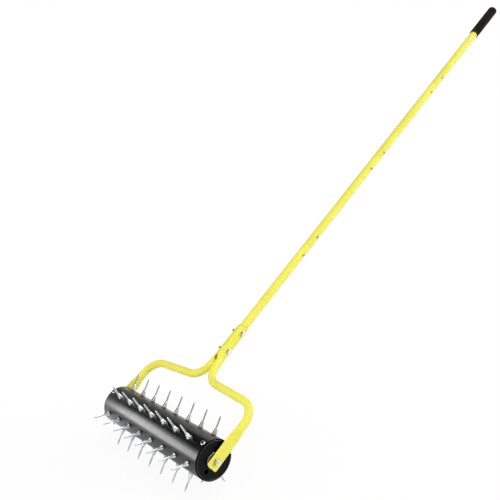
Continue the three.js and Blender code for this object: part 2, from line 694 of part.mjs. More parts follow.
function buildPole() {
  const screwHoles = POLE_SCREWS.flatMap((pair) => Object.values(pair))
    .map((along) => ({ radius: POLE_SCREW_RADIUS, along }));
  const boltHoles = Object.values(YOKE_BOLTS).map((along) => ({ radius: YOKE_BOLT_RADIUS, along }));
  const holes = [...screwHoles, ...boltHoles];
  const starts = [POLE_START, ...POLE_JOINTS.map((joint) => joint + GAP / 2)];
  const ends = [...POLE_JOINTS.map((joint) => joint - GAP / 2), POLE_TOP];
  starts.forEach((low, index) => {
    const tube = holedTube(POLE_RADIUS - POLE_WALL, POLE_RADIUS, low, ends[index], holes);
    place(handle, `pole_tube_${index + 1}`, tube, yellowPaint);
  });
  POLE_JOINTS.forEach((joint, index) => {
    const low = joint - SLEEVE_LENGTH / 2;
    const sleeve = holedTube(SLEEVE_RADIUS - SLEEVE_WALL, SLEEVE_RADIUS, low, low + SLEEVE_LENGTH, holes);
    place(handle, `pole_sleeve_${index + 1}`, sleeve, plainSteel);
  });
}

function buildPoleScrews() {
  const seat = POLE_RADIUS + GAP;
  const nutLow = -seat - POLE_NUT_HEIGHT;
  const screw = alongX(turned([
    [0, nutLow - POLE_SCREW_END_PROUD],
    [POLE_SCREW_RADIUS, nutLow - POLE_SCREW_END_PROUD],
    [POLE_SCREW_RADIUS, seat],
    [POLE_SCREW_HEAD_RADIUS, seat],
    [POLE_SCREW_HEAD_RADIUS, seat + POLE_SCREW_HEAD_HEIGHT / 2],
    [POLE_SCREW_RADIUS, seat + POLE_SCREW_HEAD_HEIGHT],
    [0, seat + POLE_SCREW_HEAD_HEIGHT],
  ], ROD_SIDES));
  const screwNut = nut(POLE_NUT_WIDTH, POLE_SCREW_RADIUS + GAP, nutLow, -seat);
  POLE_SCREWS.forEach((pair, index) => {
    for (const [level, along] of Object.entries(pair)) {
      place(handle, `pole_screw_${index + 1}_${level}`, screw, zinc).position.y = along;
      place(handle, `pole_nut_${index + 1}_${level}`, screwNut, zinc).position.y = along;
    }
  });
}

function buildGrip() {
  const low = HANDLE_TOP - GRIP_LENGTH;
  const lipMiddle = low + GRIP_LIP_ROUND;
  const roundMiddle = HANDLE_TOP - GRIP_ROUND;
  const bore = POLE_RADIUS + GAP;
  const profile = [
    [0, HANDLE_TOP - GRIP_END_THICKNESS],
    [bore, HANDLE_TOP - GRIP_END_THICKNESS],
    [bore, low],
    ...arc(GRIP_RADIUS - GRIP_LIP_ROUND, lipMiddle, GRIP_LIP_ROUND, -Math.PI / 2, 0, GRIP_STEPS),
    ...arc(GRIP_RADIUS - GRIP_ROUND, roundMiddle, GRIP_ROUND, 0, Math.PI / 2, GRIP_STEPS),
    [0, HANDLE_TOP],
  ];
  place(handle, 'grip', turned(profile, TUBE_SIDES), gripRubber);
}

buildDrum();
buildAxle();
buildYoke();
buildPole();
buildPoleScrews();
buildGrip();

// The origin is under the middle of the whole, on the surface that the spikes stand on
const aerator = new THREE.Group();
aerator.add(drum, handle);
const bounds = new THREE.Box3().setFromObject(aerator, true);
const middle = bounds.getCenter(new THREE.Vector3());
aerator.position.set(-middle.x, -middle.y, -bounds.min.z);
aerator.updateMatrixWorld(true);

export default aerator;
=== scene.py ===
# Looks of the rolling spike aerator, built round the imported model. Lengths are in metres.
import json
import math

import bmesh
import bpy
from mathutils import Matrix, Vector

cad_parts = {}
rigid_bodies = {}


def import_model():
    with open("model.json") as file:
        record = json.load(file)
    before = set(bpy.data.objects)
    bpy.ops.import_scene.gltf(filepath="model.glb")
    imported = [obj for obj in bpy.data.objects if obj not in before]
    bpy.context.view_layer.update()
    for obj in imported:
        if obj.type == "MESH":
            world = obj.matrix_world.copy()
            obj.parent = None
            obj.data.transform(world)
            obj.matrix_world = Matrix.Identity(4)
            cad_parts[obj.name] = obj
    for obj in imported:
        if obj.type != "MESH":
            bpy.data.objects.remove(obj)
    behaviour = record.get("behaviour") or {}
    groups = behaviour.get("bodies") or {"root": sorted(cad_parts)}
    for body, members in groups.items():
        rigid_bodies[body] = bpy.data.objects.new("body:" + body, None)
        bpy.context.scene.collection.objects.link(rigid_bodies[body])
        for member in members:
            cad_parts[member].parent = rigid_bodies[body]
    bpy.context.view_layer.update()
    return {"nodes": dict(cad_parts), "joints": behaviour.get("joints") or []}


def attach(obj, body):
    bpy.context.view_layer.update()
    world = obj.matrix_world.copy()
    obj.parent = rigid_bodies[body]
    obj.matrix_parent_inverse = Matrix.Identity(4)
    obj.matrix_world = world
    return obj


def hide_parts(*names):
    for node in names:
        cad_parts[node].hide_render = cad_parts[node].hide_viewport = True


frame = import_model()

MM = 0.001
TURN = 2 * math.pi
HANDLE = "handle_frame"
DRUM = "drum"

# The axle's middle and the handle's slope carry every other place
AXLE = Vector(frame["joints"][0]["pos_m"])
HANDLE_INCLINE = math.radians(37.2)
AT_DRUM = Matrix.Translation(AXLE)
AT_HANDLE = AT_DRUM @ Matrix.Rotation(HANDLE_INCLINE, 4, "X")
# A shape is made for the right side. The left one is the same, turned half round about the handle
SIDES = {"right": Matrix.Identity(4), "left": Matrix.Rotation(math.pi, 4, "Y")}
ALONG_X = Matrix.Rotation(-math.pi / 2, 4, "Z")  # a shape made about Y then lies along X
GAP = 0.3 * MM  # left between pieces that fit in or on each other
SHARP = 40  # degrees between faces from which their edge stays sharp
SHARP_SMALL = 25  # the same on screws, nuts and spikes


# Meshes from rings of points

def circle(radius, height, count):
    """A ring about Y. A radius of zero gives the one point on the axis."""
    if radius == 0:
        return [Vector((0, height, 0))]
    angles = [TURN * index / count for index in range(count)]
    return [Vector((radius * math.cos(a), height, radius * math.sin(a))) for a in angles]


def skin(rings, close_loop=False):
    """Vertices and faces of a surface through the rings. A one-point ring closes an end."""
    vertices = [point for ring in rings for point in ring]
    starts = [sum(len(ring) for ring in rings[:index]) for index in range(len(rings))]
    pairs = list(zip(range(len(rings)), range(1, len(rings))))
    if close_loop:
        pairs.append((len(rings) - 1, 0))
    faces = []
    for low, high in pairs:
        count = max(len(rings[low]), len(rings[high]))
        for side in range(count):
            after = (side + 1) % count
            a, b = starts[low] + side, starts[low] + after
            c, d = starts[high] + after, starts[high] + side
            if len(rings[low]) == 1:
                faces.append((starts[low], c, d))
            elif len(rings[high]) == 1:
                faces.append((a, b, starts[high]))
            else:
                faces.append((a, b, c, d))
    return vertices, faces


def joined(parts):
    """Several (vertices, faces) pairs as one."""
    vertices, faces = [], []
    for more_vertices, more_faces in parts:
        start = len(vertices)
        vertices += more_vertices
        faces += [tuple(index + start for index in face) for face in more_faces]
    return vertices, faces


def moved(part, matrix):
    vertices, faces = part
    return [matrix @ point for point in vertices], faces


def solid_mesh(name, part, matrix):
    """A mesh of the part in place, with every face turned out of the solid."""
    vertices, faces = moved(part, matrix)
    mesh = bpy.data.meshes.new(name)
    mesh.from_pydata([tuple(point) for point in vertices], [], faces)
    mesh.update()
    shape = bmesh.new()
    shape.from_mesh(mesh)
    bmesh.ops.recalc_face_normals(shape, faces=shape.faces)
    shape.to_mesh(mesh)
    shape.free()
    return mesh


def shade(mesh, sharp):
    mesh.shade_smooth()
    mesh.set_sharp_from_angle(angle=math.radians(sharp))


def in_scene(name, data):
    """A new object in the scene."""
    obj = bpy.data.objects.new(name, data)
    bpy.context.scene.collection.objects.link(obj)
    return obj


def piece(name, part, matrix, body, coat, nodes=(), sharp=SHARP):
    """A finished piece in place, with the CAD nodes that it stands for."""
    mesh = solid_mesh(name, part, matrix)
    shade(mesh, sharp)
    mesh.materials.append(coat)
    obj = in_scene(name, mesh)
    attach(obj, body)
    if nodes:
        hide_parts(*nodes)
    return obj


def finished(name, part, matrix, body, coat, sharp=SHARP):
    """A finished piece that stands for the one CAD node of that name."""
    piece(f"{name}_finished", part, matrix, body, coat, [name], sharp)


def cut(obj, part, matrix):
    """Cuts another closed shape out of a piece."""
    tool = in_scene("cutter", solid_mesh("cutter", part, matrix))
    boolean = obj.modifiers.new("hole", "BOOLEAN")
    boolean.object = tool
    boolean.operation = "DIFFERENCE"
    boolean.solver = "EXACT"
    bpy.context.view_layer.update()
    evaluated = obj.evaluated_get(bpy.context.evaluated_depsgraph_get())
    result = bpy.data.meshes.new_from_object(evaluated)
    obj.modifiers.clear()
    obj.data = result
    bpy.data.objects.remove(tool)
    shade(obj.data, SHARP)


def round_edges(obj, width):
    bevel = obj.modifiers.new("edges", "BEVEL")
    bevel.width = width
    bevel.segments = 2
    bevel.limit_method = "ANGLE"
    bevel.angle_limit = math.radians(50)


# Profiles, as (radius, height) points

def fillet(points, steps):
    """Rounds the corners of a profile. Each point is (radius, height) or (radius, height, rounding)."""
    rounded = []
    for index, point in enumerate(points):
        here = Vector(point[:2])
        if len(point) < 3 or index in (0, len(points) - 1):
            rounded.append(tuple(here))
            continue
        before = Vector(points[index - 1][:2]) - here
        after = Vector(points[index + 1][:2]) - here
        half = before.angle(after) / 2
        reach = min(point[2] / math.tan(half), 0.9 * before.length, 0.9 * after.length)
        inwards = (before.normalized() + after.normalized()).normalized()
        centre = here + inwards * reach / math.cos(half)
        start = here + before.normalized() * reach - centre
        end = here + after.normalized() * reach - centre
        sweep = math.pi - 2 * half
        for step in range(steps + 1):
            share = step / steps
            spoke = start * math.sin((1 - share) * sweep) + end * math.sin(share * sweep)
            rounded.append(tuple(centre + spoke / math.sin(sweep)))
    return rounded


def turned(points, count=64, steps=4):
    """A turned solid about Y. The profile starts and ends on the axis, or ends where it started."""
    profile = fillet(points, steps)
    closed = profile[0] == profile[-1]
    if closed:
        profile = profile[:-1]
    return skin([circle(radius, height, count) for radius, height in profile], close_loop=closed)


# Screws and nuts

HEX_POINTS = 48
CHAMFER_SLOPE = math.tan(math.radians(30))
CHAMFER_START = 0.97  # radius at which a hexagon's chamfer starts, as a share of its inner radius
FLAT_TOP = 0.985  # radius of the flat inside the chamfer, as a share of the chamfer's start
COUNTERSINK = 0.6 * MM
THREAD_POINTS = 36
THREAD_DEPTH = 0.54  # of the pitch
THREAD_STEPS = 6  # rings in one pitch
THREAD_CHAMFER = 1.2  # of the depth
NUT_PLAY = 0.1 * MM

M8_RADIUS = 4 * MM
M8_PITCH = 1.25 * MM
M8_HEXAGON = 13 * MM
M8_NUT_HEIGHT = 6.8 * MM
M8_HEAD_HEIGHT = 5.3 * MM
M4_RADIUS = 2 * MM
M4_PITCH = 0.7 * MM
M4_HEXAGON = 7 * MM
M4_NUT_HEIGHT = 3.2 * MM


def hex_ring(across_flats, height, chamfer_radius=None, up=1):
    """A hexagonal ring. With a chamfer radius its corners drop away as a turned chamfer leaves them."""
    sector = TURN / 6
    ring = []
    for index in range(HEX_POINTS):
        angle = TURN * index / HEX_POINTS
        radius = across_flats / 2 / math.cos(angle % sector - sector / 2)
        drop = max(0, radius - chamfer_radius) * CHAMFER_SLOPE if chamfer_radius else 0
        ring.append(Vector((radius * math.cos(angle), height - up * drop, radius * math.sin(angle))))
    return ring


def hex_head(across_flats, low, high, washer=0.0):
    """A hexagon bolt head with a turned chamfer on top and, where washer is given, a washer face below."""
    face = across_flats / 2 * CHAMFER_START
    base = low + washer
    rings = [circle(0, low, HEX_POINTS)]
    if washer:
        rings += [circle(face, low, HEX_POINTS), circle(face, base, HEX_POINTS)]
    rings += [hex_ring(across_flats, base), hex_ring(across_flats, high, face)]
    rings += [circle(face * FLAT_TOP, high, HEX_POINTS), circle(0, high, HEX_POINTS)]
    return skin(rings)


def hex_nut(across_flats, thread_radius, low, high):
    """A hexagon nut, chamfered on both faces and countersunk at its bore."""
    bore = thread_radius + NUT_PLAY
    mouth = bore + COUNTERSINK
    face = across_flats / 2 * CHAMFER_START
    rings = [circle(mouth, low, HEX_POINTS), circle(face * FLAT_TOP, low, HEX_POINTS)]
    rings += [hex_ring(across_flats, low, face, up=-1), hex_ring(across_flats, high, face)]
    rings += [circle(face * FLAT_TOP, high, HEX_POINTS), circle(mouth, high, HEX_POINTS)]
    rings += [circle(bore, high - COUNTERSINK, HEX_POINTS), circle(bore, low + COUNTERSINK, HEX_POINTS)]
    return skin(rings, close_loop=True)


def threaded(radius, pitch, low, high, end):
    """Rings of a thread about Y from low to high, chamfered at end, which is one of the two."""
    depth = THREAD_DEPTH * pitch
    steps = max(THREAD_STEPS, round((high - low) / pitch * THREAD_STEPS))
    chamfer = depth * THREAD_CHAMFER
    rings = []
    for step in range(steps + 1):
        height = low + (high - low) * step / steps
        limit = radius - max(0, chamfer - abs(end - height))
        ring = []
        for index in range(THREAD_POINTS):
            angle = TURN * index / THREAD_POINTS
            phase = (height / pitch - index / THREAD_POINTS) % 1
            wave = abs(2 * phase - 1)
            reach = min(limit, radius - depth * (1 - wave))
            ring.append(Vector((reach * math.cos(angle), height, reach * math.sin(angle))))
        rings.append(ring)
    return rings


def shank(radius, pitch, end, thread_top, seat, plain_radius, overlap):
    """A screw's shank along Y: threaded from its end to thread_top, plain from there into its head."""
    head_inside = seat + overlap
    rings = [circle(0, end, THREAD_POINTS)] + threaded(radius, pitch, end, thread_top, end)
    rings += [circle(plain_radius, thread_top + overlap, THREAD_POINTS),
              circle(plain_radius, head_inside, THREAD_POINTS), circle(0, head_inside, THREAD_POINTS)]
    return skin(rings)


# Materials

def put(made, socket, value):
    """Links a node's output to a socket, or sets the socket where the value is a plain one."""
    if isinstance(value, bpy.types.NodeSocket):
        made.node_tree.links.new(value, socket)
    else:
        socket.default_value = value


def node(made, kind, **inputs):
    """Adds a node and sets or links its inputs, each named as its socket with _ for a space."""
    added = made.node_tree.nodes.new(kind)
    for name, value in inputs.items():
        put(made, added.inputs[name.replace("_", " ")], value)
    return added


def computed(made, kind, operation, inputs, output):
    """The result of a math node of that kind, with its inputs in order."""
    added = made.node_tree.nodes.new(kind)
    added.operation = operation
    for index, value in enumerate(inputs):
        put(made, added.inputs[index], value)
    return added.outputs[output]


def scalar(made, operation, *inputs):
    return computed(made, "ShaderNodeMath", operation, inputs, "Value")


def vector(made, operation, *inputs, output="Vector"):
    return computed(made, "ShaderNodeVectorMath", operation, inputs, output)


def place_of(made, stretch=(1, 1, 1)):
    """Object coordinates, stretched along the axes of the model."""
    coordinates = node(made, "ShaderNodeTexCoord").outputs["Object"]
    return node(made, "ShaderNodeMapping", Vector=coordinates, Scale=stretch).outputs["Vector"]


def noise(made, scale, detail=4.0, stretch=(1, 1, 1)):
    texture = node(made, "ShaderNodeTexNoise", Vector=place_of(made, stretch), Scale=scale, Detail=detail)
    return texture.outputs["Fac"]


def ranged(made, value, low, high, from_low=0.0, from_high=1.0):
    """Runs from low to high while the value runs from from_low to from_high, and no further."""
    added = node(made, "ShaderNodeMapRange", Value=value, From_Min=from_low, From_Max=from_high,
                 To_Min=low, To_Max=high)
    return added.outputs["Result"]


def chosen(made, factor, low, high):
    """Low where the factor is 0 and high where it is 1."""
    return node(made, "ShaderNodeMix", Factor=factor, A=low, B=high).outputs["Result"]


def tinted(made, factor, dark, light):
    """A colour that is dark where the factor is 0 and light where it is 1."""
    mix = node(made, "ShaderNodeMix")
    mix.data_type = "RGBA"
    for name, value in (("Factor", factor), ("A", (*dark, 1)), ("B", (*light, 1))):
        put(made, mix.inputs[name], value)
    return mix.outputs["Result"]


def surface_of(made):
    return made.node_tree.nodes["Principled BSDF"]


def connect(made, socket, value):
    put(made, surface_of(made).inputs[socket], value)


def material(name, color, roughness, metallic=0.0, specular=0.5):
    made = bpy.data.materials.new(name)
    made.use_nodes = True
    connect(made, "Base Color", (*color, 1))
    connect(made, "Roughness", roughness)
    connect(made, "Metallic", metallic)
    connect(made, "Specular IOR Level", specular)
    return made


def bumped(made, height, strength, distance):
    bump = node(made, "ShaderNodeBump", Height=height, Strength=strength, Distance=distance)
    connect(made, "Normal", bump.outputs["Normal"])


def linear(*srgb):
    """A colour as it looks on screen, from 0 to 255, in the renderer's linear values."""
    shares = [value / 255 for value in srgb]
    return tuple(s / 12.92 if s <= 0.04045 else ((s + 0.055) / 1.055) ** 2.4 for s in shares)


# The parts of a noise's range that are spread over the whole change of shade and of gloss
SHADE_SPAN = (0.35, 0.65)
GLOSS_SPAN = (0.3, 0.7)
COAT_CLOUDS = 9.0  # scale of the noise in the black and yellow coats
CAP_FACE_ENDS = 49.6 * MM  # distance from the axle
CAP_RIM_STARTS = 50.4 * MM
CAP_RIM_ROUGHNESS = 0.75
CAP_DARKEST = 0.75  # share of the way from dark to light that the cap's face keeps in a cloud


def cloudy_shade(made, dark, light, scale):
    factor = ranged(made, noise(made, scale), 0, 1, *SHADE_SPAN)
    connect(made, "Base Color", tinted(made, factor, dark, light))


def uneven_gloss(made, low, high, scale):
    connect(made, "Roughness", ranged(made, noise(made, scale), low, high, *GLOSS_SPAN))


def orange_peel(made):
    bumped(made, noise(made, 300.0, detail=2.0), strength=0.04, distance=0.02 * MM)


def powder_coat(name, dark, light, roughness, specular):
    """Gloss powder coat: a faint orange peel, a slow drift of shade and a slightly uneven gloss."""
    made = material(name, light, roughness, specular=specular)
    cloudy_shade(made, dark, light, scale=COAT_CLOUDS)
    uneven_gloss(made, roughness - 0.04, roughness + 0.05, scale=60.0)
    orange_peel(made)
    return made


def cap_coat(name, dark, light, roughness, specular):
    """Satin black that is darker and duller on the rounded rim than on the face."""
    made = material(name, light, roughness, specular=specular)
    from_axle = vector(made, "SUBTRACT", place_of(made), AXLE)
    across = vector(made, "MULTIPLY", from_axle, (0, 1, 1))
    distance = vector(made, "LENGTH", across, output="Value")
    on_face = ranged(made, distance, 1.0, 0.0, CAP_FACE_ENDS, CAP_RIM_STARTS)
    clouds = ranged(made, noise(made, COAT_CLOUDS), CAP_DARKEST, 1.0, *SHADE_SPAN)
    connect(made, "Base Color", tinted(made, scalar(made, "MULTIPLY", on_face, clouds), dark, light))
    connect(made, "Roughness", ranged(made, on_face, CAP_RIM_ROUGHNESS, roughness))
    orange_peel(made)
    return made


def plated(name, dark, light, roughness, grain, stretch=(1, 1, 1)):
    """Bright plated steel with fine drawing marks and a slightly cloudy polish."""
    made = material(name, light, roughness, metallic=1.0)
    cloudy_shade(made, dark, light, scale=45.0)
    uneven_gloss(made, roughness * 0.7, roughness * 1.4, scale=140.0)
    bumped(made, noise(made, grain, stretch=stretch), strength=0.15, distance=0.03 * MM)
    return made


def rubber(name, dark, light, roughness):
    """Matt rubber with a fine moulded grain."""
    made = material(name, light, roughness, specular=0.05)
    cloudy_shade(made, dark, light, scale=30.0)
    uneven_gloss(made, roughness - 0.08, roughness + 0.08, scale=220.0)
    bumped(made, noise(made, 1500.0, detail=3.0), strength=0.35, distance=0.06 * MM)
    return made


YELLOW = powder_coat("yellow_powder_coat", linear(238, 231, 91), linear(246, 240, 103), 0.38, 0.14)
DRUM_BLACK = powder_coat("drum_satin_black", linear(6, 6, 7), linear(10, 10, 11), 0.25, 0.65)
CAP_BLACK = cap_coat("cap_satin_black", linear(3, 3, 4), linear(13, 13, 16), 0.34, 0.1)
CAP_EDGE = powder_coat("cap_bead_gloss", linear(9, 9, 11), linear(13, 13, 15), 0.2, 1.0)
CHROME = plated("spike_chrome", linear(206, 208, 211), linear(232, 234, 236), 0.12, 500.0, (1, 1, 0.2))
ZINC = plated("bright_zinc", linear(222, 224, 226), linear(244, 245, 246), 0.18, 700.0)
# Darker, duller zinc. On the axle washers this dark tone is painted shade, standing in for the shadow that
# the nut casts round itself; the pole screws and nuts have the same tone
DULL_ZINC_AND_PAINTED_SHADE = plated("washer_zinc", linear(150, 148, 138), linear(178, 176, 166), 0.28, 700.0)
POLISHED = plated("bearing_polish", linear(226, 226, 226), linear(246, 245, 244), 0.24, 900.0, (0.1, 1, 1))
PLAIN_STEEL = plated("turned_steel", linear(120, 122, 125), linear(150, 152, 155), 0.38, 600.0, (4, 1, 1))
SEAL_RUBBER = rubber("seal_rubber", linear(14, 14, 15), linear(24, 24, 26), 0.62)
GRIP_RUBBER = rubber("grip_rubber", linear(20, 17, 7), linear(30, 26, 13), 0.5)


# Drum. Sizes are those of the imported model, and distances along X are from its middle

DRUM_RADIUS = 52.5 * MM
DRUM_WALL = 2 * MM
DRUM_POINTS = 192
TUBE_END = 228.5 * MM
CAP_RIM = 3.6 * MM
CAP_FACE = TUBE_END + 0.8 * MM + CAP_RIM
CAP_POINTS = 160
CAP_HOLE_RADIUS = 6 * MM
CAP_HOLE_FROM_AXLE = 32 * MM
CAP_HOLE_ANGLE = math.radians(221)
BEAD_INNER = 48.8 * MM
BEAD_OUTER = 49.9 * MM
BEARING_RADIUS = 21 * MM
BEARING_OUTER_LAND = 17.4 * MM
BEARING_INNER_LAND = 13.6 * MM
BEARING_BORE = 10 * MM
BEARING_FACE = CAP_FACE + 2 * MM
BEARING_WIDTH = 12 * MM
BEARING_POINTS = 96
ROW_COUNT = 6
SPIKES_IN_ROW = (7, 8)  # in turn
SPIKE_PITCH = 57 * MM
SPIKE_TIP = DRUM_RADIUS + 49 * MM
SPIKE_HEXAGON = 13 * MM
SPIKE_FLANGE_THICKNESS = 3.5 * MM
CAP_SCREW_PLACE = CAP_FACE - 11.5 * MM
CAP_SCREW_ROWS = (0, 2, 4)
CAP_SCREW_TURN = math.radians(-6)  # from those rows of spikes
CAP_SCREW_HEXAGON = 8 * MM


def row_angle(row):
    return TURN * row / ROW_COUNT


def spike_places(row):
    count = SPIKES_IN_ROW[row % 2]
    return [(index - (count - 1) / 2) * SPIKE_PITCH for index in range(count)]


def drum_tube():
    inner = DRUM_RADIUS - DRUM_WALL
    edge = 0.5 * MM
    profile = [(inner, -TUBE_END), (DRUM_RADIUS, -TUBE_END, edge), (DRUM_RADIUS, TUBE_END, edge),
               (inner, TUBE_END), (inner, -TUBE_END)]
    tube = turned(profile, count=DRUM_POINTS)
    piece("drum_tube_shell", tube, AT_DRUM @ ALONG_X, DRUM, DRUM_BLACK, ["drum_tube"])


def end_cap(side):
    """Rounded rim, dished face with a boss round the bearing, skirt in the tube, hole and thin bead."""
    face = CAP_FACE
    dish = face - 0.9 * MM
    lip = 45.5 * MM
    pocket = BEARING_RADIUS + GAP
    skirt = DRUM_RADIUS - DRUM_WALL - GAP
    skirt_inner = skirt - 2.5 * MM
    skirt_end = face - 18.5 * MM
    back = face - 3.2 * MM
    boss = pocket + 2.7 * MM
    boss_end = face - 12 * MM
    profile = [
        (pocket, boss_end), (pocket, face - 0.2 * MM), (pocket + 0.4 * MM, face), (boss, face, 0.5 * MM),
        (boss + 1.4 * MM, dish, 0.8 * MM), (lip, dish, 0.9 * MM), (lip + 1.5 * MM, face, 0.8 * MM),
        (DRUM_RADIUS, face, 2.4 * MM), (DRUM_RADIUS, face - CAP_RIM, 0.4 * MM), (skirt, face - CAP_RIM),
        (skirt, skirt_end), (skirt_inner, skirt_end), (skirt_inner, back),
        (boss, back), (boss, boss_end), (pocket, boss_end),
    ]
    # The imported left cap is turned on, which brings the holes in its skirt to its screws
    onwards = 2 * CAP_SCREW_TURN if side == "left" else 0
    about = AT_DRUM @ Matrix.Rotation(onwards, 4, "X") @ SIDES[side]
    cap = piece(f"end_cap_{side}_shell", turned(profile, count=CAP_POINTS, steps=5), about @ ALONG_X, DRUM,
                CAP_BLACK, [f"end_cap_{side}"])
    drill_start, drill_end = back - 4 * MM, face + 4 * MM
    hole = turned([(0, drill_start), (CAP_HOLE_RADIUS, drill_start), (CAP_HOLE_RADIUS, drill_end),
                   (0, drill_end)], count=48)
    at_hole = about @ Matrix.Rotation(CAP_HOLE_ANGLE, 4, "X") @ Matrix.Translation((0, CAP_HOLE_FROM_AXLE, 0))
    cut(cap, hole, at_hole @ ALONG_X)
    bead_low, bead_top = face - 0.3 * MM, face + 0.3 * MM
    bead = [(BEAD_INNER, bead_low), (BEAD_INNER, bead_top, 0.3 * MM), (BEAD_OUTER, bead_top, 0.4 * MM),
            (BEAD_OUTER, bead_low), (BEAD_INNER, bead_low)]
    piece(f"end_cap_{side}_bead", turned(bead, count=CAP_POINTS, steps=5), about @ ALONG_X, DRUM,
          CAP_EDGE)


def bearing(side):
    """The outer ring and the seal turn with the drum, and the inner ring stays with the handle."""
    about = AT_DRUM @ SIDES[side] @ ALONG_X
    about_handle = AT_HANDLE @ SIDES[side] @ ALONG_X
    low, high = BEARING_FACE - BEARING_WIDTH, BEARING_FACE
    edge = 0.6 * MM
    outer = [(BEARING_OUTER_LAND, low), (BEARING_RADIUS, low, edge), (BEARING_RADIUS, high, edge),
             (BEARING_OUTER_LAND, high, 0.3 * MM), (BEARING_OUTER_LAND, low)]
    finished(f"bearing_outer_ring_{side}", turned(outer, count=BEARING_POINTS), about, DRUM, POLISHED)
    inner = [(BEARING_BORE, low), (BEARING_INNER_LAND, low), (BEARING_INNER_LAND, high, 0.3 * MM),
             (BEARING_BORE, high, edge), (BEARING_BORE, low)]
    finished(f"bearing_inner_ring_{side}", turned(inner, count=BEARING_POINTS), about_handle, HANDLE,
             POLISHED)
    seal_low, seal_high = high - 1.4 * MM, high - 0.4 * MM
    seal_in, seal_out = BEARING_INNER_LAND + 2 * GAP, BEARING_OUTER_LAND - GAP
    middle = (seal_in + seal_out) / 2
    edge = 0.2 * MM
    seal = [(seal_in, seal_low), (seal_out, seal_low), (seal_out, seal_high, edge),
            (middle + 0.5 * MM, seal_high, edge), (middle, seal_high - 0.3 * MM, edge),
            (middle - 0.5 * MM, seal_high, edge), (seal_in, seal_high, edge), (seal_in, seal_low)]
    finished(f"bearing_seal_outer_{side}", turned(seal, count=BEARING_POINTS), about, DRUM, SEAL_RUBBER)


def cap_screws():
    """Hex flange screws that hold the caps in the tube."""
    seat = DRUM_RADIUS + GAP
    pin_end = seat - 9 * MM
    pin = 2.4 * MM
    flange = 5.7 * MM
    flange_top = seat + 1.2 * MM
    body = [(0, pin_end), (pin, pin_end), (pin, seat), (flange, seat, 0.2 * MM),
            (flange, seat + 0.5 * MM, 0.3 * MM), (4.6 * MM, flange_top, 0.3 * MM), (0, flange_top)]
    head = hex_head(CAP_SCREW_HEXAGON, flange_top - 0.2 * MM, flange_top + 4.2 * MM)
    screw = joined([turned(body, count=48), head])
    for side, sign in (("left", -1), ("right", 1)):
        for number, row in enumerate(CAP_SCREW_ROWS, start=1):
            turn = Matrix.Rotation(row_angle(row) + CAP_SCREW_TURN, 4, "X")
            at = AT_DRUM @ Matrix.Translation((sign * CAP_SCREW_PLACE, 0, 0)) @ turn
            finished(f"cap_screw_{side}_{number}", screw, at, DRUM, ZINC, SHARP_SMALL)


def spike():
    """Hex flange, tapered collar, shank and point of one spike, along +Y."""
    seat = DRUM_RADIUS + GAP
    flange_top = seat + SPIKE_FLANGE_THICKNESS
    collar_low, collar_top = flange_top - 1 * MM, flange_top + 13 * MM
    root_end = seat - 5 * MM
    root, collar, stem = 3 * MM, 6.2 * MM, 2.3 * MM
    profile = [
        (0, root_end), (root, root_end), (root, collar_low),
        (collar, collar_low), (collar, flange_top + 0.6 * MM, 0.5 * MM),
        (3.6 * MM, collar_top, 0.5 * MM), (stem, collar_top + 0.4 * MM, 0.3 * MM),
        (stem, SPIKE_TIP - 10 * MM, 8 * MM), (1.5 * MM, SPIKE_TIP - 2.5 * MM, 4 * MM),
        (0.9 * MM, SPIKE_TIP - 0.8 * MM, 0.8 * MM), (0, SPIKE_TIP - 0.1 * MM),
    ]
    return joined([turned(profile, count=28, steps=3), hex_head(SPIKE_HEXAGON, seat, flange_top)])


def spike_rows():
    one = spike()
    for row in range(ROW_COUNT):
        spikes = [moved(one, Matrix.Translation((along, 0, 0))) for along in spike_places(row)]
        at = AT_DRUM @ Matrix.Rotation(row_angle(row), 4, "X")
        finished(f"spike_row_{row + 1}", joined(spikes), at, DRUM, CHROME, SHARP_SMALL)


# Axle

AXLE_END = 254 * MM
AXLE_THREAD = 10 * MM
AXLE_NUT_FACE = 245.2 * MM
AXLE_CLEARANCE = 4.3 * MM  # radius of the holes that the axle goes through
ARM_OUTER_FACE = 243 * MM
ARM_INNER_FACE = 239 * MM


def axle():
    """The rod with its threaded ends, and a washer, a nut and a spacer bush at each."""
    thread_start = AXLE_END - AXLE_THREAD
    rings = [circle(0, -AXLE_END, THREAD_POINTS)]
    rings += threaded(M8_RADIUS, M8_PITCH, -AXLE_END, -thread_start, -AXLE_END)
    rings += threaded(M8_RADIUS, M8_PITCH, thread_start, AXLE_END, AXLE_END)
    rings.append(circle(0, AXLE_END, THREAD_POINTS))
    finished("axle_rod", skin(rings), AT_HANDLE @ ALONG_X, HANDLE, ZINC)

    bore = AXLE_CLEARANCE
    rim, crown = 8.5 * MM, 6.6 * MM
    low = ARM_OUTER_FACE + GAP
    high = low + 1.6 * MM
    washer = turned([(bore, low), (rim, low, 0.1 * MM), (rim, low + 0.5 * MM, 0.2 * MM),
                     (crown, high, 0.3 * MM), (bore, high), (bore, low)])
    nut = hex_nut(M8_HEXAGON, M8_RADIUS, AXLE_NUT_FACE, AXLE_NUT_FACE + M8_NUT_HEIGHT)
    journal, collar, edge = 9.7 * MM, 12 * MM, 0.3 * MM
    low, shoulder, high = BEARING_FACE - BEARING_WIDTH, BEARING_FACE + GAP, ARM_INNER_FACE - GAP
    bush = turned([(bore, low), (journal, low, edge), (journal, shoulder), (collar, shoulder, edge),
                   (collar, high, edge), (bore, high), (bore, low)])
    for side, about in SIDES.items():
        at = AT_HANDLE @ about @ ALONG_X
        # The washer's darker zinc is painted shade for the nut's shadow on it
        finished(f"axle_washer_{side}", washer, at, HANDLE, DULL_ZINC_AND_PAINTED_SHADE)
        finished(f"axle_nut_{side}", nut, at, HANDLE, ZINC, SHARP_SMALL)
        finished(f"spacer_bush_{side}", bush, at, HANDLE, PLAIN_STEEL)


# Yoke. Each arm is one run of sections along a bent path, from its flat end up to the half shell

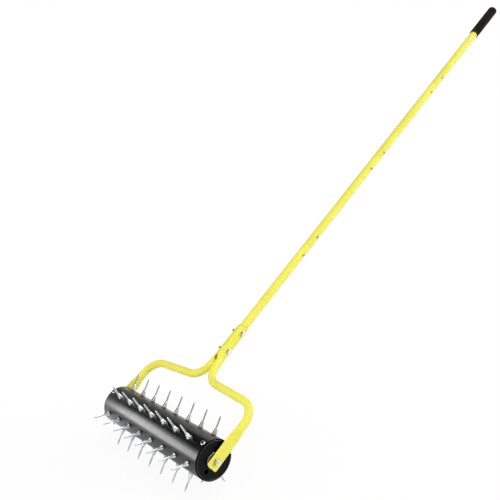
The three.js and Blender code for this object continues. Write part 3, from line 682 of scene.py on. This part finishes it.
ARM_TUBE_RADIUS = 11 * MM
ARM_FLAT_WIDTH = 36 * MM
ARM_FLAT_THICKNESS = 4 * MM
ARM_FLAT_CORNER = 5 * MM
ARM_FLAT_END = 64 * MM
ARM_CORNERS = [(241, -20), (241, 161), (43.5, 173), (11.5, 202), (11.5, 356)]  # in millimetres
ARM_BENDS = [(55, 22), (50, 12), (50, 12)]  # radius in millimetres and number of steps
ARM_NECK = 11.5 * MM  # from the handle's middle to the tube's, where the arm runs up to the pole
ARM_EDGE = 0.5 * MM
FLAT_SPREAD = 6  # how soon the flat section reaches its full thickness from its edges
FLAT_POWER = 14  # how late its edges round off
FLAT_LEAST = 0.35  # share of the thickness that its edges keep
SHELL_INNER = 12.9 * MM
SHELL_OUTER = 15.5 * MM
SEAM = 0.5 * MM  # from the middle to each half shell
CLAMP_START = 256 * MM
CLAMP_END = 356 * MM
CLAMP_MORPH = 28 * MM  # length in which the round tube opens into the half shell
SECTION_POINTS = 64
YOKE_BOLTS = (("lower", 274 * MM), ("upper", 338 * MM))


def arm_path():
    """Places and directions along the arm's bends."""
    corners = [Vector(corner) * MM for corner in ARM_CORNERS]
    steps = []
    for index, (radius_mm, count) in enumerate(ARM_BENDS):
        radius = radius_mm * MM
        corner = corners[index + 1]
        arriving = (corner - corners[index]).normalized()
        leaving = (corners[index + 2] - corner).normalized()
        turn = math.atan2(arriving.x * leaving.y - arriving.y * leaving.x, arriving.dot(leaving))
        start = corner - arriving * radius * math.tan(abs(turn) / 2)
        centre = start + Vector((-arriving.y, arriving.x)) * math.copysign(radius, turn)
        for step in range(count + 1):
            spin = Matrix.Rotation(turn * step / count, 2)
            steps.append((centre + spin @ (start - centre), spin @ arriving))
    return steps


def arm_section(flat=0.0, shell=0.0, width=ARM_FLAT_WIDTH):
    """One section of the arm: round, pressed flat, or a half shell round the pole."""
    half = SECTION_POINTS // 2
    last = (half - 1) * math.pi / (2 * half)
    points = []
    for index in range(SECTION_POINTS):
        outwards = index < half
        angle = (index + 0.5 - half / 2) * math.pi / half
        cos, sin = math.cos(angle), math.sin(angle)
        round_point = Vector((cos, sin)) * ARM_TUBE_RADIUS
        side = math.copysign(min(abs(cos) * FLAT_SPREAD, 1), cos)
        edge = max((1 - abs(sin) ** FLAT_POWER) ** 0.5, FLAT_LEAST)
        across = max(-1, min(1, sin / math.sin(last)))
        flat_point = Vector((side * ARM_FLAT_THICKNESS / 2 * edge, across * width / 2))
        folded = angle if outwards else math.pi - angle
        around = folded / last * math.pi / 2
        radius = SHELL_OUTER if outwards else SHELL_INNER
        shell_point = Vector((SEAM - ARM_NECK + radius * math.cos(around), radius * math.sin(around)))
        points.append(round_point.lerp(flat_point, flat).lerp(shell_point, shell))
    return points


def smooth(share):
    return share * share * (3 - 2 * share)


def straight_stations(x, low, high, count, shape):
    """Sections along a straight run. shape gives a section for each share of the run."""
    stations = []
    for step in range(count + 1):
        share = step / count
        stations.append((Vector((x, low + (high - low) * share)), Vector((0, 1)), shape(share)))
    return stations


def corner_section(share):
    """The flat section where the corners of the arm's end are rounded."""
    inset = ARM_FLAT_CORNER * (1 - math.sqrt(max(0, 1 - (1 - share) ** 2)))
    return arm_section(flat=1, width=ARM_FLAT_WIDTH - 2 * inset)


def arm_stations():
    """The place, the direction and the section of every ring of the arm."""
    path = arm_path()
    round_start = path[0][0].y
    x, end = (value * MM for value in ARM_CORNERS[0])
    corner_end = end + ARM_FLAT_CORNER
    stations = straight_stations(x, end, corner_end, 8, corner_section)
    stations += straight_stations(x, corner_end, ARM_FLAT_END, 4, lambda share: arm_section(flat=1))[1:]
    stations += straight_stations(x, ARM_FLAT_END, round_start, 14,
                                  lambda share: arm_section(flat=1 - smooth(share)))[1:-1]
    stations += [(place, direction, arm_section()) for place, direction in path]
    stations += straight_stations(ARM_NECK, CLAMP_START - CLAMP_MORPH, CLAMP_START, 12,
                                  lambda share: arm_section(shell=smooth(share)))
    stations += straight_stations(ARM_NECK, CLAMP_START, CLAMP_END, 6,
                                  lambda share: arm_section(shell=1))[1:]
    return stations


def yoke_arms():
    rings = []
    for place, direction, section in arm_stations():
        rings.append([Vector((place.x + direction.y * across, place.y - direction.x * across, high))
                      for across, high in section])
    vertices, faces = skin(rings)
    # Each end is closed by strips between the two halves of its section
    count = SECTION_POINTS
    for start in (0, (len(rings) - 1) * count):
        for index in range(count // 2 - 1):
            other = count - 1 - index
            faces.append((start + index, start + index + 1, start + other - 1, start + other))
    for side, about in SIDES.items():
        name = f"yoke_arm_{side}"
        arm = piece(f"{name}_tube", (vertices, faces), AT_HANDLE @ about, HANDLE, YELLOW,
                    [name])
        round_edges(arm, ARM_EDGE)


def yoke_bolts():
    """The two bolts that clamp the half shells on the pole, and their nuts."""
    seat = SEAM + SHELL_OUTER + GAP
    nut_high = -seat
    nut_low = nut_high - M8_NUT_HEIGHT
    bolt = joined([
        shank(M8_RADIUS, M8_PITCH, nut_low - 2 * MM, nut_high, seat, 3.9 * MM, overlap=1 * MM),
        hex_head(M8_HEXAGON, seat, seat + M8_HEAD_HEIGHT, washer=0.5 * MM),
    ])
    nut = hex_nut(M8_HEXAGON, M8_RADIUS, nut_low, nut_high)
    for level, along in YOKE_BOLTS:
        at = AT_HANDLE @ Matrix.Translation((0, along, 0)) @ ALONG_X
        finished(f"yoke_bolt_{level}", bolt, at, HANDLE, ZINC, SHARP_SMALL)
        finished(f"yoke_nut_{level}", nut, at, HANDLE, ZINC, SHARP_SMALL)


# Pole and grip. Distances are along the handle, from the axle

POLE_RADIUS = 12.5 * MM
POLE_WALL = 1.5 * MM
POLE_START = 259.5 * MM
POLE_JOINTS = [684 * MM, 1069 * MM, 1454 * MM]
POLE_SCREW_FROM_JOINT = 38 * MM
HANDLE_TOP = 1892 * MM
GRIP_LENGTH = 151 * MM
GRIP_RADIUS = 15.5 * MM
RIB_COUNT = 34
GROOVE_DEPTH = 0.45 * MM


def pole():
    starts = [POLE_START] + [joint + GAP / 2 for joint in POLE_JOINTS]
    ends = [joint - GAP / 2 for joint in POLE_JOINTS] + [HANDLE_TOP - 4.3 * MM]
    inner = POLE_RADIUS - POLE_WALL
    edge = 0.4 * MM
    for index, (low, high) in enumerate(zip(starts, ends), start=1):
        profile = [(inner, low), (POLE_RADIUS, low, edge), (POLE_RADIUS, high, edge), (inner, high),
                   (inner, low)]
        finished(f"pole_tube_{index}", turned(profile, count=72), AT_HANDLE, HANDLE, YELLOW)


def pole_screws():
    """A screw with a low round head, dished in its middle, and a nut, on each side of each joint."""
    seat = POLE_RADIUS + GAP
    nut_low = -seat - M4_NUT_HEIGHT
    dome = seat + 2 * MM
    rim = 4 * MM
    head = [(0, seat), (rim, seat, 0.2 * MM), (rim, seat + 0.6 * MM, 0.5 * MM),
            (3 * MM, dome - 0.2 * MM, 0.8 * MM), (1.7 * MM, dome, 0.2 * MM),
            (1.5 * MM, seat + 0.7 * MM, 0.1 * MM), (0, seat + 0.6 * MM)]
    screw = joined([
        shank(M4_RADIUS, M4_PITCH, nut_low - 1 * MM, -seat, seat, 1.95 * MM, overlap=0.5 * MM),
        turned(head, count=36),
    ])
    nut = hex_nut(M4_HEXAGON, M4_RADIUS, nut_low, -seat)
    for index, joint in enumerate(POLE_JOINTS, start=1):
        for level, sign in (("lower", -1), ("upper", 1)):
            along = joint + sign * POLE_SCREW_FROM_JOINT
            at = AT_HANDLE @ Matrix.Translation((0, along, 0)) @ ALONG_X
            finished(f"pole_screw_{index}_{level}", screw, at, HANDLE, DULL_ZINC_AND_PAINTED_SHADE, sharp=30)
            finished(f"pole_nut_{index}_{level}", nut, at, HANDLE, DULL_ZINC_AND_PAINTED_SHADE, SHARP_SMALL)


def grip():
    """Closed over the pole's end, with a rounded top and fine ribs between grooves."""
    low, top = HANDLE_TOP - GRIP_LENGTH, HANDLE_TOP - 0.2 * MM
    bore = POLE_RADIUS + GAP
    bore_end = HANDLE_TOP - 4 * MM
    rib_low, rib_high = low + 8 * MM, top - 14 * MM
    pitch = (rib_high - rib_low) / RIB_COUNT
    bottom = GRIP_RADIUS - GROOVE_DEPTH
    profile = [(0, bore_end), (bore, bore_end), (bore, low), (GRIP_RADIUS, low, 1.5 * MM)]
    for rib in range(RIB_COUNT):
        start = rib_low + rib * pitch
        profile += [(GRIP_RADIUS, start), (bottom, start + 0.18 * pitch), (bottom, start + 0.4 * pitch),
                    (GRIP_RADIUS, start + 0.58 * pitch)]
    profile += [(GRIP_RADIUS, rib_high), (GRIP_RADIUS, top, 8 * MM), (0, top)]
    finished("grip", turned(profile, steps=10), AT_HANDLE, HANDLE, GRIP_RUBBER, sharp=60)


def carried_over():
    """Finishes of the CAD nodes that stay as they are, inside the tool."""
    kept = {"pole_sleeve": PLAIN_STEEL, "bearing_ball_cage": POLISHED, "bearing_seal_inner": SEAL_RUBBER}
    for name, obj in frame["nodes"].items():
        for start, coat in kept.items():
            if name.startswith(start):
                obj.data.materials.clear()
                obj.data.materials.append(coat)


# Camera, light and floor

CAMERA_FROM_AXLE = Vector((1.5109, -0.8701, 0.8083))
CAMERA_AZIMUTH = math.radians(51.706)
CAMERA_ELEVATION = math.radians(10.98)
CAMERA_ROLL = math.radians(-2.684)
FOCAL_PIXELS = 696.4
IMAGE_PIXELS = 500
SENSOR = 36.0

# The parts of the studio that gloss sees dimmed: their direction, the strength that is left there, and how
# far a ray has to face them for the dimming to start and to be complete
DIMMED = [
    (Vector((-0.45, -0.4, 0.8)), 0.03, 0.64, 0.8),  # unlit corner, high on the left
    (Vector((0.79, -0.45, 0.42)), 0.38, 0.6, 0.85),  # side that is lit less
    (Vector((-0.9, 0.3, 0.32)), 0.3, 0.93, 0.99),  # what the drum's left end reflects
]
FILL = 0.42  # the studio's strength for light that falls on the pieces

# Name, place, size and power in watts. Those named low or matt are meant for certain coats, see the end
LAMPS = [
    ("key", (0.6, -2.4, 2.8), (1.6, 1.6), 10.0),
    ("matt_low", (0.2, -2.6, 0.6), (1.6, 1.0), 21.0),
    ("low", (-1.83, -2.414, 0.56), (1.77, 1.1), 28.0),
    ("low_haze", (-1.83, -2.414, 0.81), (1.77, 1.6), 12.5),
    ("top", (0.38, 1.77, 6.0), (3.8, 3.8), 120.0),
    ("right", (4.68, 3.05, 1.6), (1.3, 1.3), 125.0),
]
LAMPS_AIM = Vector((0, 0, 0.4))

FLOOR_WHITE = "floor_white"
FLOOR_SIZE = 40.0
SHADOW_MIDDLE = (0, AXLE.y - 0.1, 0)
# Share of plain white in the floor near the drum and away from it, and the distances from the middle of
# the shadow that these are for
FLOOR_SEEN = (0.92, 1.0, 0.25, 0.7)
FLOOR_IN_GLOSS = (0.2, 1.0, 0.12, 0.5)


def camera():
    data = bpy.data.cameras.new("camera")
    data.sensor_width = SENSOR
    data.lens = FOCAL_PIXELS / IMAGE_PIXELS * SENSOR
    data.clip_end = 100
    obj = in_scene("camera", data)
    level = math.cos(CAMERA_ELEVATION)
    ahead = Vector((-math.sin(CAMERA_AZIMUTH) * level, math.cos(CAMERA_AZIMUTH) * level,
                    -math.sin(CAMERA_ELEVATION)))
    turn = ahead.to_track_quat("-Z", "Y").to_matrix().to_4x4() @ Matrix.Rotation(CAMERA_ROLL, 4, "Z")
    obj.matrix_world = Matrix.Translation(AXLE + CAMERA_FROM_AXLE) @ turn
    bpy.context.scene.camera = obj


def studio():
    """White all round, but dimmed where gloss would show too much of it, with large soft lamps."""
    world = bpy.data.worlds.new("studio")
    bpy.context.scene.world = world
    world.use_nodes = True
    background = world.node_tree.nodes["Background"]
    background.inputs["Color"].default_value = (1, 1, 1, 1)
    direction = node(world, "ShaderNodeTexCoord").outputs["Generated"]
    in_gloss = 1.0
    for axis, strength, start, end in DIMMED:
        facing = vector(world, "DOT_PRODUCT", direction, axis, output="Value")
        in_gloss = scalar(world, "MULTIPLY", in_gloss, ranged(world, facing, 1.0, strength, start, end))
    ray = node(world, "ShaderNodeLightPath").outputs
    lit = chosen(world, ray["Is Glossy Ray"], FILL, in_gloss)
    through = chosen(world, ray["Is Transmission Ray"], lit, 1.0)
    put(world, background.inputs["Strength"], chosen(world, ray["Is Camera Ray"], through, 1.0))
    for name, place, size, power in LAMPS:
        data = bpy.data.lights.new(name, "AREA")
        data.shape = "RECTANGLE"
        data.size, data.size_y = size
        data.energy = power
        obj = in_scene(name, data)
        obj.location = place
        obj.rotation_euler = (LAMPS_AIM - obj.location).to_track_quat("-Z", "Y").to_euler()


def floor():
    """Pale and matt. Seen directly it keeps its shadow by the drum and turns plain white away from it."""
    size = FLOOR_SIZE
    mesh = bpy.data.meshes.new("floor")
    corners = [(-size, -size, 0), (size, -size, 0), (size, size, 0), (-size, size, 0)]
    mesh.from_pydata(corners, [], [(0, 1, 2, 3)])
    obj = in_scene("floor", mesh)
    made = material(FLOOR_WHITE, (0.93, 0.93, 0.93), 0.9, specular=0.1)
    place = node(made, "ShaderNodeTexCoord").outputs["Object"]
    away = vector(made, "DISTANCE", place, SHADOW_MIDDLE, output="Value")
    ray = node(made, "ShaderNodeLightPath").outputs
    in_gloss = ray["Is Glossy Ray"]
    white = chosen(made, in_gloss, ranged(made, away, *FLOOR_SEEN), ranged(made, away, *FLOOR_IN_GLOSS))
    # 1 for rays from the camera, from gloss or through glass, and 0 for light that falls on a surface
    seen = scalar(made, "MAXIMUM", scalar(made, "MAXIMUM", ray["Is Camera Ray"], in_gloss),
                  ray["Is Transmission Ray"])
    glow = node(made, "ShaderNodeEmission", Strength=1.0)
    mix = node(made, "ShaderNodeMixShader", Fac=chosen(made, seen, 0.0, white))
    put(made, mix.inputs[1], surface_of(made).outputs["BSDF"])
    put(made, mix.inputs[2], glow.outputs["Emission"])
    put(made, made.node_tree.nodes["Material Output"].inputs["Surface"], mix.outputs["Shader"])
    mesh.materials.append(made)


def share_out(lamp_names, coat_names):
    """Lets the lamps whose names start with lamp_names light only what has one of the coats."""
    lit = bpy.data.collections.new("lit_by_" + lamp_names)
    for obj in bpy.context.scene.objects:
        if obj.type == "MESH" and obj.data.materials and obj.data.materials[0].name in coat_names:
            lit.objects.link(obj)
    for obj in bpy.context.scene.objects:
        if obj.type == "LIGHT" and obj.name.startswith(lamp_names):
            obj.light_linking.receiver_collection = lit


camera()
studio()
floor()
drum_tube()
for side in SIDES:
    end_cap(side)
    bearing(side)
cap_screws()
spike_rows()
axle()
yoke_arms()
yoke_bolts()
pole()
pole_screws()
grip()
carried_over()
# The low lamps draw the bands on the black pieces and the shine on screws and bearings, and the matt one
# lifts the yellow and the floor
share_out("low", [coat.name for coat in (DRUM_BLACK, CAP_BLACK, CAP_EDGE, ZINC, DULL_ZINC_AND_PAINTED_SHADE, POLISHED)])
share_out("matt", [FLOOR_WHITE, YELLOW.name])

bpy.context.scene.view_settings.view_transform = "Standard"
bpy.context.view_layer.update()
